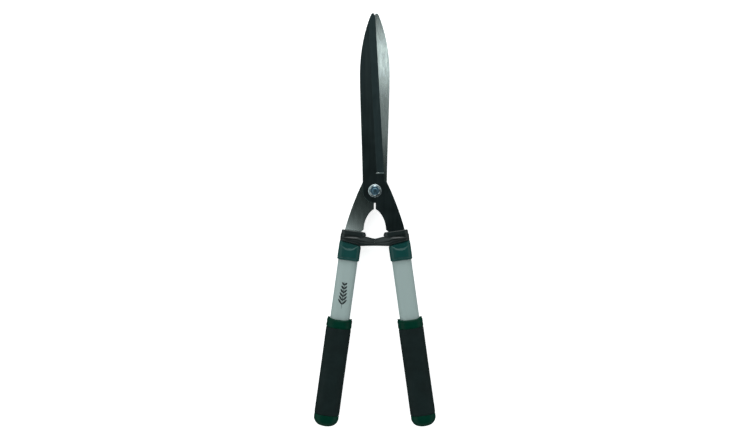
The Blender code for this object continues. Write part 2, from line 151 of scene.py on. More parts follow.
def ring_mesh(name, rings, closed=False):
    """A skin through rings of points, which are in millimetres. Open ends get a flat cap."""
    bm = bmesh.new()
    loops = [[bm.verts.new(Vector(point) * MM) for point in ring] for ring in rings]
    pairs = list(zip(loops, loops[1:]))
    if closed:
        pairs.append((loops[-1], loops[0]))
    else:
        bm.faces.new(loops[0])
        bm.faces.new(loops[-1])
    for first, second in pairs:
        for index in range(len(first)):
            bm.faces.new((first[index - 1], first[index], second[index], second[index - 1]))
    return finish_mesh(name, bm)


def oval(width, thickness, corner, panel=None):
    """Points round a rectangle with round corners, from +X by +Y back to +X.

    A panel height, which may be 0, puts a raised panel on the two flats that run across.
    """
    across = width / 2 - corner
    through = thickness / 2 - corner
    centers = ((across, through), (-across, through), (-across, -through), (across, -through))
    points = []
    for turn, (x, y) in enumerate(centers):
        for step in range(CORNER_STEPS + 1):
            angle = math.radians(90 * (turn + step / CORNER_STEPS))
            points.append(Vector((x + corner * math.cos(angle), y + corner * math.sin(angle))))
        next_x, next_y = centers[(turn + 1) % 4]
        start = points[-1]
        end = start + Vector((next_x - x, next_y - y))
        if panel is None or turn % 2:
            points += [start.lerp(end, step / FLAT_STEPS) for step in range(1, FLAT_STEPS)]
        else:
            rise = Vector((0, math.copysign(panel, y)))
            points += [start.lerp(end, share) + rise * raised for share, raised in PANEL_STEPS]
    return points


def level(x):
    """The line across the handle for an edge at right angles to it."""
    return 0.0


def dipped(dip, slope=0.0, reach=17.6):
    """A line across the handle that slopes and hangs down in the middle, with upright ends."""
    return lambda x: slope * x + dip * (1 - min(1.0, abs(x) / reach) ** 3.5)


def handle_mesh(name, section, profile, closed=False, shift=0.0, panel=None):
    """A piece along the handle, from a section and a profile of (distance, inset, line).

    The section is shrunk by the inset at each distance: one number, or one for the narrow sides
    and one for the broad faces. The line, a function of the place across the handle, adds to the
    distance. A panel is (first distance, last distance, height).
    """
    width, thickness, corner = section
    rings = []
    for distance, inset, *rest in profile:
        line = rest[0] if rest else level
        height = panel and (panel[2] if panel[0] <= distance <= panel[1] else 0.0)
        side, face = inset if isinstance(inset, tuple) else (inset, inset)
        outline = oval(width - 2 * side, thickness - 2 * face, max(corner - face, 0.4), height)
        rings.append([(point.x + shift, -(distance + line(point.x)), point.y) for point in outline])
    return ring_mesh(name, rings, closed)


def rim_in(distance, inset, radius, steps=5):
    """Profile points of a round edge that starts an end face: from the face out to the side."""
    points = []
    for step in range(steps + 1):
        angle = math.radians(90 * step / steps)
        points.append((distance + radius * (1 - math.cos(angle)), inset + radius * (1 - math.sin(angle))))
    return points


def rim_out(distance, inset, radius, steps=5, line=level):
    """Profile points of a round edge that ends a side: from the side in to the end face."""
    points = []
    for step in range(steps + 1):
        angle = math.radians(90 * step / steps)
        points.append((distance - radius * (1 - math.sin(angle)),
                       inset + radius * (1 - math.cos(angle)), line))
    return points


def turned_mesh(name, profile, closed=False, steps=ROUND_STEPS):
    """A round piece from a profile of (radius, height). A radius may be a function of the angle."""
    rings = []
    for radius, height in profile:
        ring = []
        for step in range(steps):
            angle = 2 * math.pi * step / steps
            reach = radius(angle) if callable(radius) else radius
            ring.append((reach * math.cos(angle), reach * math.sin(angle), height))
        rings.append(ring)
    return ring_mesh(name, rings, closed)


def box_mesh(low, high, place=Matrix.Identity(4)):
    """A box between two corners, for cutting."""
    low = Vector(low) * MM
    high = Vector(high) * MM
    bm = bmesh.new()
    size = Matrix.Diagonal((*(high - low), 1.0))
    bmesh.ops.create_cube(bm, size=1.0, matrix=place @ Matrix.Translation((low + high) / 2) @ size)
    return finish_mesh("box", bm)


def plate_mesh(name, outline, bottom, top):
    """A flat outline given a thickness."""
    bm = bmesh.new()
    foot = [bm.verts.new(Vector((*point, bottom)) * MM) for point in outline]
    lid = [bm.verts.new(Vector((*point, top)) * MM) for point in outline]
    bm.faces.new(foot)
    bm.faces.new(lid)
    for index in range(len(foot)):
        bm.faces.new((foot[index - 1], foot[index], lid[index], lid[index - 1]))
    return finish_mesh(name, bm)


def combined(mesh, *steps):
    """The mesh after Boolean steps of (operation, other mesh), all in one frame, without tiny slivers."""
    name = mesh.name
    sliver = 0.002 * MM
    scene_objects = bpy.context.scene.collection.objects
    body = bpy.data.objects.new("body", mesh)
    scene_objects.link(body)
    tools = []
    for operation, other in steps:
        tool = bpy.data.objects.new("tool", other)
        scene_objects.link(tool)
        tools.append(tool)
        modifier = body.modifiers.new("step", "BOOLEAN")
        modifier.operation = operation
        modifier.object = tool
        modifier.solver = "EXACT"
    bpy.context.view_layer.update()
    evaluated = body.evaluated_get(bpy.context.evaluated_depsgraph_get())
    result = bpy.data.meshes.new_from_object(evaluated)
    for item in [body, *tools]:
        spare = item.data
        bpy.data.objects.remove(item)
        bpy.data.meshes.remove(spare)
    bm = bmesh.new()
    bm.from_mesh(result)
    bmesh.ops.dissolve_degenerate(bm, dist=sliver, edges=bm.edges)
    bm.to_mesh(result)
    bm.free()
    result.name = name
    return result


def arc(radius, start, end, steps):
    """Points on an arc about the pivot, angles in degrees."""
    angles = [math.radians(start + (end - start) * step / steps) for step in range(steps + 1)]
    return [Vector((radius * math.cos(angle), radius * math.sin(angle))) for angle in angles]


def bezier(start, pull_a, pull_b, end, steps):
    """Points on a cubic curve, without its last one."""
    corners = [Vector(point) for point in (start, pull_a, pull_b, end)]
    points = []
    for step in range(steps):
        t = step / steps
        s = 1 - t
        weights = (s ** 3, 3 * s * s * t, 3 * s * t * t, t ** 3)
        points.append(sum((w * c for w, c in zip(weights, corners)), Vector((0, 0))))
    return points


def smooth_loop(points, steps):
    """A closed chain of points, filled in along a smooth curve through them."""
    count = len(points)
    filled = []
    for index in range(count):
        a, b, c, d = (Vector(points[(index + offset) % count]) for offset in (-1, 0, 1, 2))
        for step in range(steps):
            t = step / steps
            filled.append(0.5 * (2 * b + (c - a) * t + (2 * a - 5 * b + 4 * c - d) * t * t
                                 + (3 * b - a - 3 * c + d) * t ** 3))
    return filled


def on_handle(outwards, down):
    """A handle-frame place in the half's frame, in millimetres."""
    turn = Matrix.Rotation(HANDLE_ANGLE, 2)
    return Vector((HANDLE_ROOT_X, 0)) + turn @ Vector((outwards, -down))


# Looks

class Look:
    """A Principled material built up from patterns that are fixed in the piece's own frame."""

    def __init__(self, name, **sockets):
        self.material = bpy.data.materials.new(name)
        self.material.use_nodes = True
        self.nodes = self.material.node_tree.nodes
        self.links = self.material.node_tree.links
        self.shader = self.nodes["Principled BSDF"]
        for socket, value in sockets.items():
            self.shader.inputs[socket.replace("_", " ")].default_value = value
        self.normal = None

    def place(self, size, stretch=(1, 1, 1)):
        """Coordinates in which one pattern cell is the given size, in millimetres."""
        source = self.nodes.new("ShaderNodeTexCoord")
        mapping = self.nodes.new("ShaderNodeMapping")
        mapping.inputs["Scale"].default_value = [1 / (size * MM * share) for share in stretch]
        self.links.new(source.outputs["Object"], mapping.inputs["Vector"])
        return mapping.outputs["Vector"]

    def noise(self, size, stretch=(1, 1, 1), detail=3.0, distortion=0.0):
        """Cloudy pattern, from 0 to 1 and mostly between 0.3 and 0.7."""
        texture = self.nodes.new("ShaderNodeTexNoise")
        texture.inputs["Scale"].default_value = 1.0
        texture.inputs["Detail"].default_value = detail
        texture.inputs["Distortion"].default_value = distortion
        self.links.new(self.place(size, stretch), texture.inputs["Vector"])
        return texture.outputs["Fac"]

    def cells(self, size):
        """Soft pebbles of the given size, in millimetres."""
        texture = self.nodes.new("ShaderNodeTexVoronoi")
        texture.feature = "SMOOTH_F1"
        texture.inputs["Scale"].default_value = 1.0
        texture.inputs["Smoothness"].default_value = 0.6
        self.links.new(self.place(size), texture.inputs["Vector"])
        return texture.outputs["Distance"]

    def from_axis(self, start, end):
        """From 0 to 1 between two distances from the piece's Z axis, in millimetres."""
        source = self.nodes.new("ShaderNodeTexCoord")
        flat = self.nodes.new("ShaderNodeVectorMath")
        flat.operation = "MULTIPLY"
        flat.inputs[1].default_value = (1, 1, 0)
        length = self.nodes.new("ShaderNodeVectorMath")
        length.operation = "LENGTH"
        self.links.new(source.outputs["Object"], flat.inputs[0])
        self.links.new(flat.outputs["Vector"], length.inputs[0])
        return self.ranged(length.outputs["Value"], 0.0, 1.0, (start * MM, end * MM))

    def multiplied(self, first, second):
        node = self.nodes.new("ShaderNodeMath")
        node.operation = "MULTIPLY"
        self.links.new(first, node.inputs[0])
        self.links.new(second, node.inputs[1])
        return node.outputs["Value"]

    def ranged(self, socket, low, high, source=(0.3, 0.7)):
        """The socket's source span mapped to low and high."""
        node = self.nodes.new("ShaderNodeMapRange")
        node.inputs["From Min"].default_value = source[0]
        node.inputs["From Max"].default_value = source[1]
        node.inputs["To Min"].default_value = low
        node.inputs["To Max"].default_value = high
        self.links.new(socket, node.inputs["Value"])
        return node.outputs["Result"]

    def color(self, socket, dark, light, source=(0.3, 0.7)):
        """Base colour from dark to light along a pattern."""
        ramp = self.nodes.new("ShaderNodeValToRGB")
        first, last = ramp.color_ramp.elements
        first.position, last.position = source
        first.color = (*dark, 1.0)
        last.color = (*light, 1.0)
        self.links.new(socket, ramp.inputs["Fac"])
        self.links.new(ramp.outputs["Color"], self.shader.inputs["Base Color"])
        return self

    def rough(self, socket, low, high):
        """Roughness from low to high along a pattern."""
        self.links.new(self.ranged(socket, low, high), self.shader.inputs["Roughness"])
        return self

    def bump(self, socket, height, strength=1.0):
        """Relief of the given height in millimetres, on top of the relief added before."""
        node = self.nodes.new("ShaderNodeBump")
        node.inputs["Distance"].default_value = height * MM
        node.inputs["Strength"].default_value = strength
        self.links.new(socket, node.inputs["Height"])
        if self.normal:
            self.links.new(self.normal, node.inputs["Normal"])
        self.normal = node.outputs["Normal"]
        self.links.new(self.normal, self.shader.inputs["Normal"])
        return self


def coated_steel():
    """Dark blued coating on steel: faint orange peel, lengthwise streaks and a few dull patches."""
    look = Look("coated_steel", Metallic=1.0)
    look.color(look.noise(22, (0.12, 2.5, 1)), (0.036, 0.054, 0.056), (0.048, 0.070, 0.072))
    look.rough(look.noise(14, detail=5), 0.29, 0.38)
    look.bump(look.noise(0.9, detail=2), 0.02, 0.5)
    return look.material


def ground_steel():
    """The coated bevel: the same coating over faint grinding lines across the edge."""
    look = Look("ground_coated_steel", Metallic=1.0)
    look.color(look.noise(22, (0.12, 2.5, 1)), (0.036, 0.056, 0.060), (0.048, 0.071, 0.075))
    look.rough(look.noise(9, detail=5), 0.28, 0.38)
    look.bump(look.noise(0.5, (22, 1, 22), 2), 0.02, 0.5)
    return look.material


def bare_steel(name, pivot_shade_share, light):
    """Ground bare steel with fine lengthwise streaks.

    Round the pivot its colour is darkened to the pivot shade's share: painted shade round the hub, assumed
    and set to fit.
    """
    look = Look(name, Metallic=1.0)
    streaks = look.noise(9, (0.16, 3.0, 1.0), 5, 0.4)
    # Painted shade: darker within 18 mm of the pivot axis, full colour beyond 75 mm.
    pivot_shade = look.from_axis(18, 75)
    look.color(look.multiplied(look.ranged(streaks, 0.88, 1.0), look.ranged(pivot_shade, pivot_shade_share, 1.0, (0, 1))),
               (0.0, 0.06, 0.05), light, (0.0, 1.0))
    look.rough(look.noise(7, (0.5, 2, 1), 5), 0.185, 0.235)
    look.bump(look.noise(0.35, (1, 30, 30), 2), 0.012, 0.4)
    return look.material


def buffer_rubber():
    look = Look("buffer_rubber", Specular_IOR_Level=0.38)
    look.color(look.noise(12), (0.0050, 0.0108, 0.0108), (0.0088, 0.0162, 0.0162))
    look.rough(look.noise(6, detail=5), 0.30, 0.42)
    look.bump(look.noise(0.7, detail=3), 0.025, 0.5)
    return look.material


def moulded_green(name, dark, light, gloss):
    """Satin moulded plastic, with faint flow marks."""
    look = Look(name, Specular_IOR_Level=gloss)
    look.color(look.noise(18), dark, light)
    look.rough(look.noise(5, detail=5), 0.28, 0.40)
    look.bump(look.noise(0.8, detail=3), 0.02, 0.45)
    return look.material


def tube_lacquer():
    """Silver-grey lacquer with a faint metallic grain and drawing lines along the tube."""
    look = Look("tube_lacquer", Specular_IOR_Level=0.3)
    look.color(look.noise(0.4, detail=2), (0.343, 0.420, 0.412), (0.387, 0.468, 0.461))
    look.rough(look.noise(8, (1, 3, 1), 5), 0.44, 0.56)
    look.bump(look.noise(0.5, (1, 40, 1), 2), 0.01, 0.4)
    return look.material


def grip_rubber():
    """Matt soft grip with a fine pebbled skin."""
    look = Look("grip_rubber", Specular_IOR_Level=0.15)
    look.color(look.noise(20, detail=4), (0.0042, 0.0106, 0.0104), (0.0064, 0.0155, 0.0155))
    look.rough(look.noise(6, detail=5), 0.62, 0.8)
    look.bump(look.cells(0.9), 0.16, 0.8)
    look.bump(look.noise(0.4, detail=2), 0.04, 0.5)
    return look.material


def zinc_plate():
    """Bright zinc plate with a slight blue cast and dull patches."""
    look = Look("zinc_plate", Metallic=1.0)
    look.color(look.noise(3, detail=5, distortion=0.8), (0.36, 0.43, 0.45), (0.52, 0.585, 0.60))
    look.rough(look.noise(1.6, detail=5), 0.16, 0.28)
    look.bump(look.noise(0.4, detail=3), 0.02, 0.5)
    return look.material


def nut_steel():
    """Darker blue-grey passivated steel of the nut."""
    look = Look("nut_steel", Metallic=1.0)
    look.color(look.noise(2.0, detail=5, distortion=0.8), (0.05, 0.11, 0.15), (0.14, 0.25, 0.32))
    look.rough(look.noise(1.2, detail=5), 0.28, 0.46)
    look.bump(look.noise(0.35, detail=3), 0.02, 0.5)
    return look.material


def blue_nylon():
    look = Look("blue_nylon")
    look.color(look.noise(2), (0.016, 0.045, 0.078), (0.028, 0.074, 0.12))
    look.rough(look.noise(1.5, detail=4), 0.38, 0.52)
    look.bump(look.noise(0.3), 0.02, 0.5)
    return look.material


def plug_plastic():
    look = Look("plug_plastic")
    look.color(look.noise(6), (0.022, 0.022, 0.022), (0.04, 0.04, 0.04))
    look.rough(look.noise(4, detail=4), 0.48, 0.62)
    look.bump(look.noise(0.6), 0.03, 0.5)
    return look.material


def rivet_steel():
    look = Look("rivet_steel", Metallic=1.0)
    look.color(look.noise(1.5, detail=5), (0.42, 0.42, 0.42), (0.6, 0.6, 0.6))
    look.rough(look.noise(0.8, detail=4), 0.28, 0.44)
    look.bump(look.noise(0.3), 0.01, 0.5)
    return look.material


def print_ink():
    look = Look("print_ink")
    look.color(look.noise(1.2, detail=4), (0.010, 0.017, 0.018), (0.022, 0.033, 0.035))
    look.rough(look.noise(1), 0.42, 0.58)
    return look.material


def floor_paint():
    """Pale table that glows a little, as a lit product table does."""
    look = Look("floor_paint", Roughness=0.7, Emission_Strength=0.79)
    look.color(look.noise(220, detail=4), (0.875, 0.877, 0.877), (0.895, 0.895, 0.893))
    look.bump(look.noise(1.5), 0.01, 0.3)
    return look.material


LOOKS = {
    "coated": coated_steel(),
    "ground": ground_steel(),
    "bare": bare_steel("bare_steel", 0.45, (0.56, 0.67, 0.655)),
    # The run-out groove's steel is a brighter copy of the bare steel: painted highlight on a real groove.
    "run_out_highlight": bare_steel("run_out_highlight_steel", 1.0, (0.85, 0.93, 0.92)),
    "buffer": buffer_rubber(),
    "green": moulded_green("green_plastic", (0.0030, 0.046, 0.042), (0.0050, 0.060, 0.056), 0.26),
    "deep_green": moulded_green("deep_green_plastic", (0.0006, 0.026, 0.0150), (0.0014, 0.037, 0.0220), 0.07),
    "tube": tube_lacquer(),
    "grip": grip_rubber(),
    "zinc": zinc_plate(),
    "nut": nut_steel(),
    "nylon": blue_nylon(),
    "plug": plug_plastic(),
    "rivet": rivet_steel(),
    "ink": print_ink(),
    "floor": floor_paint(),
}


# Pieces

def add_piece(name, mesh, place, body, looks, replaced=(), smooth_angle=35):
    """Puts a mesh in place as one piece of the tool that rides on a body."""
    piece = bpy.data.objects.new(name, mesh)
    bpy.context.scene.collection.objects.link(piece)
    mesh.materials.clear()
    for look in looks:
        mesh.materials.append(LOOKS[look])
    mesh.shade_smooth()
    mesh.set_sharp_from_angle(angle=math.radians(smooth_angle))
    piece.matrix_world = place
    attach(piece, body)
    if replaced:
        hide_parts(*replaced)
    return piece


def keep_flats_flat(piece):
    """Shades the large faces flat and lets only the small ones beside them turn."""
    modifier = piece.modifiers.new("flat faces stay flat", "WEIGHTED_NORMAL")
    modifier.keep_sharp = True


def blade_outline():
    """Tip, down the spine, round the hub, down the arm to the tang and back up the cutting edge."""
    spine_tip = (-5.3, 248.4)
    points = bezier(EDGE_TIP, (0.0, 249.8), (-2.6, 252.6), spine_tip, 12)
    points += bezier(spine_tip, (-11.0, 235.0), (-21.6, 203.0), SPINE_WIDEST, 28)
    points += bezier(SPINE_WIDEST, (-21.0, 130.0), (-17.0, 40.0), (-HUB_RADIUS, 0), 20)
    points += arc(HUB_RADIUS, 180, 272, 24)
    points.append(Vector((SLIT_HALF, -HUB_RADIUS - 0.9)))
    points += bezier((SLIT_HALF, THROAT_TOP_Y), (5.5, -27.6), (15.2, -38.0), SHOULDER, 24)
    half = TANG_WIDTH / 2
    chamfer = 3.0
    points.append(Vector(SHOULDER))
    points.append(on_handle(-half, TANG_START))
    points.append(on_handle(-half, TANG_END - chamfer))
    points.append(on_handle(chamfer - half, TANG_END))
    points.append(on_handle(half - chamfer, TANG_END))
    points.append(on_handle(half, TANG_END - chamfer))
    points.append(on_handle(half, TANG_START))
    points += bezier((42.3, -55.5), (37.0, -34.0), (25.5, -4.5), (17.2, 11.8), 24)
    points += bezier((17.2, 11.8), (15.0, 12.6), (13.6, 13.8), EDGE_HEEL, 8)
    points.append(Vector(EDGE_HEEL))
    return points


def edge_line():
    """The cutting edge's heel, and the way along it to the tip."""
    heel = Vector(EDGE_HEEL)
    return heel, (Vector(EDGE_TIP) - heel).normalized()


def edge_frame():
    """A frame at the start of the ground bevel: +Y runs up the cutting edge, +X out of it."""
    heel, along = edge_line()
    start = heel + along * GROUND_START
    lean = math.atan2(-along.x, along.y)
    place = Matrix.Translation((start.x * MM, start.y * MM, (GAP / 2 + EDGE_LAND) * MM))
    return place @ Matrix.Rotation(lean, 4, "Z")


def ground_tool():
    """The slab that grinds the bevel."""
    place = edge_frame() @ Matrix.Rotation(GROUND_ANGLE, 4, "Y")
    return box_mesh((-3 * GROUND_WIDTH, 0, 0), (GROUND_WIDTH, 400, GROUND_WIDTH), place)


def run_out_tool():
    """A thin wedge at the bevel's lower end, where the grinding wheel bit a little deeper."""
    outline = [(-11.4, -0.95), (-0.8, -1.35), (-0.8, 0.1), (-11.4, -0.15)]
    height, tilt, up_edge = 1.0, math.radians(17), 1.5
    wedge = plate_mesh("run_out", outline, 0.0, height)
    lean = Matrix.Translation((0, up_edge * MM, 0)) @ Matrix.Rotation(tilt, 4, "X")
    wedge.transform(edge_frame() @ Matrix.Rotation(GROUND_ANGLE, 4, "Y") @ lean)
    return wedge


def sort_blade_faces(mesh):
    """Gives each face its look, by where it is and how far it faces up."""
    coated, bare, ground, run_out = range(4)
    inner_up, wall_up, run_out_up, ground_up = -0.9, 0.5, 0.938, 0.99
    heel, along = edge_line()
    for face in mesh.polygons:
        center = face.center / MM
        from_heel = Vector((center.x, center.y)) - heel
        off_edge = abs(from_heel.cross(along))
        on_land = off_edge < 0.1 and center.z < 1.0 and from_heel.dot(along) > GROUND_START - 1
        up = face.normal.z
        if up < inner_up or on_land:
            face.material_index = bare
        elif wall_up < up < run_out_up:
            face.material_index = run_out
        elif run_out_up <= up < ground_up:
            face.material_index = ground
        else:
            face.material_index = coated


def round_outer_edges(piece):
    """A small rounding on all blade edges but the cutting edge; less on the inner face's side."""
    sharpest_kept = math.radians(50)
    inner_share = 0.35
    mesh = piece.data
    heel, along = edge_line()
    weights = mesh.attributes.new("bevel_weight_edge", "FLOAT", "EDGE")
    normals = {}
    for face in mesh.polygons:
        for key in face.edge_keys:
            normals.setdefault(key, []).append(face.normal)
    for edge in mesh.edges:
        pair = normals.get(tuple(sorted(edge.vertices)), [])
        if len(pair) != 2 or pair[0].angle(pair[1]) < sharpest_kept:
            continue
        center = (mesh.vertices[edge.vertices[0]].co + mesh.vertices[edge.vertices[1]].co) / 2 / MM
        from_heel = Vector((center.x, center.y)) - heel
        if from_heel.dot(along) > 0 and abs(from_heel.cross(along)) < 0.5:
            continue
        weights.data[edge.index].value = 1.0 if center.z > BLADE_TOP - 0.1 else inner_share
    modifier = piece.modifiers.new("rounded edges", "BEVEL")
    modifier.width = 0.45 * MM
    modifier.segments = 3
    modifier.limit_method = "WEIGHT"
    modifier.use_clamp_overlap = False


def rivet_hole(place=Matrix.Identity(4)):
    """The rivet's hole across a handle, for cutting."""
    hole = turned_mesh("rivet_hole", [(RIVET_HOLE_RADIUS, -20), (RIVET_HOLE_RADIUS, 20)], steps=24)
    hole.transform(place @ Matrix.Translation((0, -RIVET_DISTANCE * MM, 0)))
    return hole


def tang_slot(place=Matrix.Identity(4)):
    """The tang's room in buffer and ferrule, for cutting."""
    reach = TANG_WIDTH / 2 + GAP
    return box_mesh((-reach, -FERRULE_BOTTOM, -GAP / 2), (reach, -COLLAR_TOP, BLADE_TOP + GAP), place)


def make_blade(name, half, body, square_hole):
    """Blade, hub, arm and tang, with the ground bevel and the holes for bolt and rivet."""
    mesh = plate_mesh(name, blade_outline(), GAP / 2, BLADE_TOP)
    if square_hole:
        hole = box_mesh((-HOLE_RADIUS, -HOLE_RADIUS, -5), (HOLE_RADIUS, HOLE_RADIUS, 10))
    else:
        hole = turned_mesh("hole", [(HOLE_RADIUS, -5), (HOLE_RADIUS, 10)])
    mesh = combined(mesh, ("DIFFERENCE", ground_tool()), ("DIFFERENCE", run_out_tool()),
                    ("DIFFERENCE", hole), ("DIFFERENCE", rivet_hole(HANDLE)))
    piece = add_piece(name + "_steel", mesh, half, body, ("coated", "bare", "ground", "run_out_highlight"),
                      (name,), smooth_angle=15)
    sort_blade_faces(mesh)
    round_outer_edges(piece)
    keep_flats_flat(piece)


def socket_joint(x):
    """Line across the handle of the joint between buffer and ferrule, from SOCKET_TOP."""
    return -0.12 * x + 0.055 * max(0.0, -x - 9.0) ** 2


def socket_line(x):
    """Height of that joint, at a place across the half's frame."""
    across = 0.0
    for _ in range(6):
        place = on_handle(across, SOCKET_TOP + socket_joint(across))
        across += (x - place.x) / math.cos(HANDLE_ANGLE)
    return on_handle(across, SOCKET_TOP + socket_joint(across)).y


def wing_foot(x):
    """Lower line of the buffer's wing."""
    level_end, heel_x = 12, 20.6
    if x > heel_x:
        return socket_line(x) + GAP / 2
    level_y = -77.4 - 0.2 * min(x / level_end, 1)
    drop = max(0.0, (x - level_end) / (heel_x - level_end)) ** 1.6
    return level_y + drop * (socket_line(heel_x) + GAP / 2 - level_y)


def wing_thickness(x):
    """Half thickness of the wing: thin at the butt, full round the handle."""
    axis_x, full_x = 34.1, 27
    half_width, half_thickness, corner, butt = 15.2, 12.8, 9.5, 6.8
    out = max(0.0, x - axis_x - (half_width - corner))
    if out > 0:
        return half_thickness - corner + math.sqrt(max(0.0, corner ** 2 - out ** 2))
    share = min(1.0, x / full_x)
    ease = share * share * (3 - 2 * share)
    return butt + (half_thickness - butt) * ease


def wing_mesh(name):
    """The arm from the butt on the centre line to the handle's far side.

    Each face has a crest with a facet above it and a groove below it. Towards the butt the crest
    comes down to the middle.
    """
    front = [(0.0, 0.60), (0.04, 0.80), (0.11, 0.88), (0.30, 0.92), (0.44, 0.915), (0.52, 0.855),
             (0.575, 0.90), (0.625, 0.985), (0.68, 0.99), (0.86, 0.885), (0.95, 0.83), (1.0, 0.74)]
    loop = smooth_loop(front + [(share, -depth) for share, depth in reversed(front)], 4)
    top = bezier((0.004, -67.4), (4.0, -67.0), (8.0, -65.2), (12.5, -64.6), 10)
    top += bezier((12.5, -64.6), (24.0, -62.6), (40.0, -62.9), (46.6, -65.0), 22)
    top += bezier((46.6, -65.0), (47.4, -65.4), (47.7, -66.0), (47.9, -67.0), 5)
    lean_start, lean_span = 30, 18
    rings = []
    for point in top:
        lean = math.tan(HANDLE_ANGLE) * max(0.0, point.x - lean_start) / lean_span
        foot = wing_foot(point.x)
        foot = wing_foot(point.x + lean * (point.y - foot))
        reach = point.y - foot
        half = wing_thickness(point.x)
        fall = 2.0 - min(1.0, point.x / 25)
        ring = []
        for share, depth in loop:
            rise = reach * max(share, 0.0) ** fall
            ring.append((point.x + lean * (reach - rise), foot + rise, half * depth))
        rings.append(ring)
    return ring_mesh(name, rings)


def collar_mesh():
    """The buffer's collar, whose inner end leans out below its top."""
    widest, lean = 60.6, 1.9
    end_start, end_blend = -14, 4
    profile = [*rim_in(COLLAR_TOP, 0.0, 1.3), (59.4, 0.0), (widest, 0.0), (62.2, 0.0), (62.8, 0.25),
               (63.2, 1.0), (64.2, 1.8), (70.0, 2.2)]
    mesh = handle_mesh("collar", COLLAR_SECTION, profile, shift=COLLAR_SHIFT)
    for vertex in mesh.vertices:
        across, down = vertex.co.x / MM, -vertex.co.y / MM
        if across < end_start:
            near_top = min(1.0, abs(widest - down) / (widest - COLLAR_TOP))
            vertex.co.x += lean * near_top * min(1.0, (end_start - across) / end_blend) * MM
    mesh.transform(HANDLE)
    return mesh


def make_buffer(name, half, body, replaced):
    """Collar, wing and seat as one moulding, with the slot for the tang."""
    seat = [(62.2, 1.4), (62.4, 0.9), (62.9, 0.55), (63.6, 0.4), (SOCKET_TOP - 1.3, 0.4, socket_joint),
            (SOCKET_TOP - 0.8, (0.6, 1.4), socket_joint), (SOCKET_TOP - GAP / 2, (0.7, 1.6), socket_joint)]
    seat_body = handle_mesh("seat", FERRULE_SECTION, seat)
    seat_body.transform(HANDLE)
    mouth = box_mesh((-13.6, -TANG_START - GAP, -GAP / 2), (10.6, -COLLAR_TOP + 1, BLADE_TOP + GAP), HANDLE)
    mesh = combined(wing_mesh(name), ("UNION", collar_mesh()), ("UNION", seat_body), ("DIFFERENCE", mouth),
                    ("DIFFERENCE", tang_slot(HANDLE)))
    piece = add_piece(name + "_moulding", mesh, half, body, ("buffer",), (replaced,))
    keep_flats_flat(piece)


def ledge_line(x):
    """The ferrule's curved ledge, from SOCKET_TOP: lowest near the middle, up to the joint at the sides."""
    return max(socket_joint(x) + 0.9, 8.6 - 0.035 * (x - 1.5) ** 2)


def groove_line(x):
    """Lower side of the shadow groove under the buffer, from SOCKET_TOP: narrower where the ledge is near."""
    return min(socket_joint(x) + 1.7, ledge_line(x) - 0.2)


def make_ferrule(name, place, body, replaced):
    """Socket with a neck under the buffer, a curved ledge, raised panels and a bead at its foot."""
    neck, groove, bore = 1.3, 3.6, 1.42
    panel_top, panel_foot, panel_height = SOCKET_TOP + 2.7, 94.2, 0.4
    profile = [(SOCKET_TOP + GAP / 2, (0.5, groove), socket_joint),
               (SOCKET_TOP - 0.15, (0.4, groove), groove_line), (SOCKET_TOP, (0.2, neck), groove_line),
               (SOCKET_TOP, (0.1, neck), ledge_line), (SOCKET_TOP + 0.15, (0.1, neck - 0.08), ledge_line),
               (SOCKET_TOP + 1.75, (0.0, 0.1), ledge_line), (SOCKET_TOP + 2.3, 0.0, ledge_line),
               (panel_top, 0.0, ledge_line), (88.6, 0.0), (panel_foot, 0.0), (94.6, 0.0), (95.0, 0.3),
               (95.4, 0.35), (95.8, 0.05), (96.4, -0.1), (97.1, -0.02), (97.8, 0.35), (98.3, 0.85),
               (FERRULE_BOTTOM, 1.3), (FERRULE_BOTTOM - 0.3, bore), (TUBE_TOP - GAP, bore)]
    mesh = handle_mesh(name, FERRULE_SECTION, profile, panel=(panel_top, panel_foot, panel_height))
    mesh = combined(mesh, ("DIFFERENCE", tang_slot()))
    piece = add_piece(name + "_socket", mesh, place, body, ("green",), (replaced,))
    keep_flats_flat(piece)


def make_tube(name, place, body, replaced):
    """Oval tube with small round rims and the rivet's hole."""
    wall, edge = 1.5, 0.3
    end = CAP_TOP - GAP
    profile = [*rim_in(TUBE_TOP, 0.0, edge, 2), (FERRULE_BOTTOM, 0.0), (GRIP_TOP, 0.0),
               *rim_out(end, 0.0, edge, 2), (end, wall), (TUBE_TOP, wall)]
    mesh = handle_mesh(name, TUBE_SECTION, profile, closed=True)
    mesh = combined(mesh, ("DIFFERENCE", rivet_hole()))
    piece = add_piece(name + "_metal", mesh, place, body, ("tube",), (replaced,))
    keep_flats_flat(piece)


def make_grip_core(name, place, body, replaced):
    """Ring with a scooped rim, a groove and a round band, on the hard sleeve inside the grip."""
    rim = dipped(3.9, 0.01)
    band = dipped(2.8)
    foot = dipped(1.3)
    top = GRIP_TOP - 2.0
    bottom = GRIP_TOP + RING_LENGTH
    end = CAP_TOP - GAP
    bore, outside = 3.6, 2.1
    profile = [(top + 1.4, bore, rim), (top + 0.3, 3.2, rim), (top, 2.7, rim), (top + 0.1, 1.9, rim),
               (top + 0.7, 1.2, rim), (top + 1.7, 0.55, rim), (top + 2.4, 0.4, rim), (top + 2.7, 0.85, rim),
               (top + 3.3, 0.9, rim), (top + 3.7, 0.3, band), (top + 4.4, 0.1, band), (top + 7.0, 0.0, band),
               (top + 8.6, 0.05, band), (top + 9.0, 0.35, band), (top + 9.6, 0.35, foot),
               (top + 10.1, 0.05, foot), (bottom - 2.4, 0.0, foot), (bottom - 1.4, 0.15, foot),
               (bottom - 0.7, 0.5, foot), (bottom - 0.5, 0.9, foot), (bottom - 0.5, outside, foot),
               (end, outside), (end, bore)]
    mesh = handle_mesh(name, RING_SECTION, profile, closed=True)
    piece = add_piece(name + "_ring", mesh, place, body, ("deep_green",), (replaced,))
    keep_flats_flat(piece)


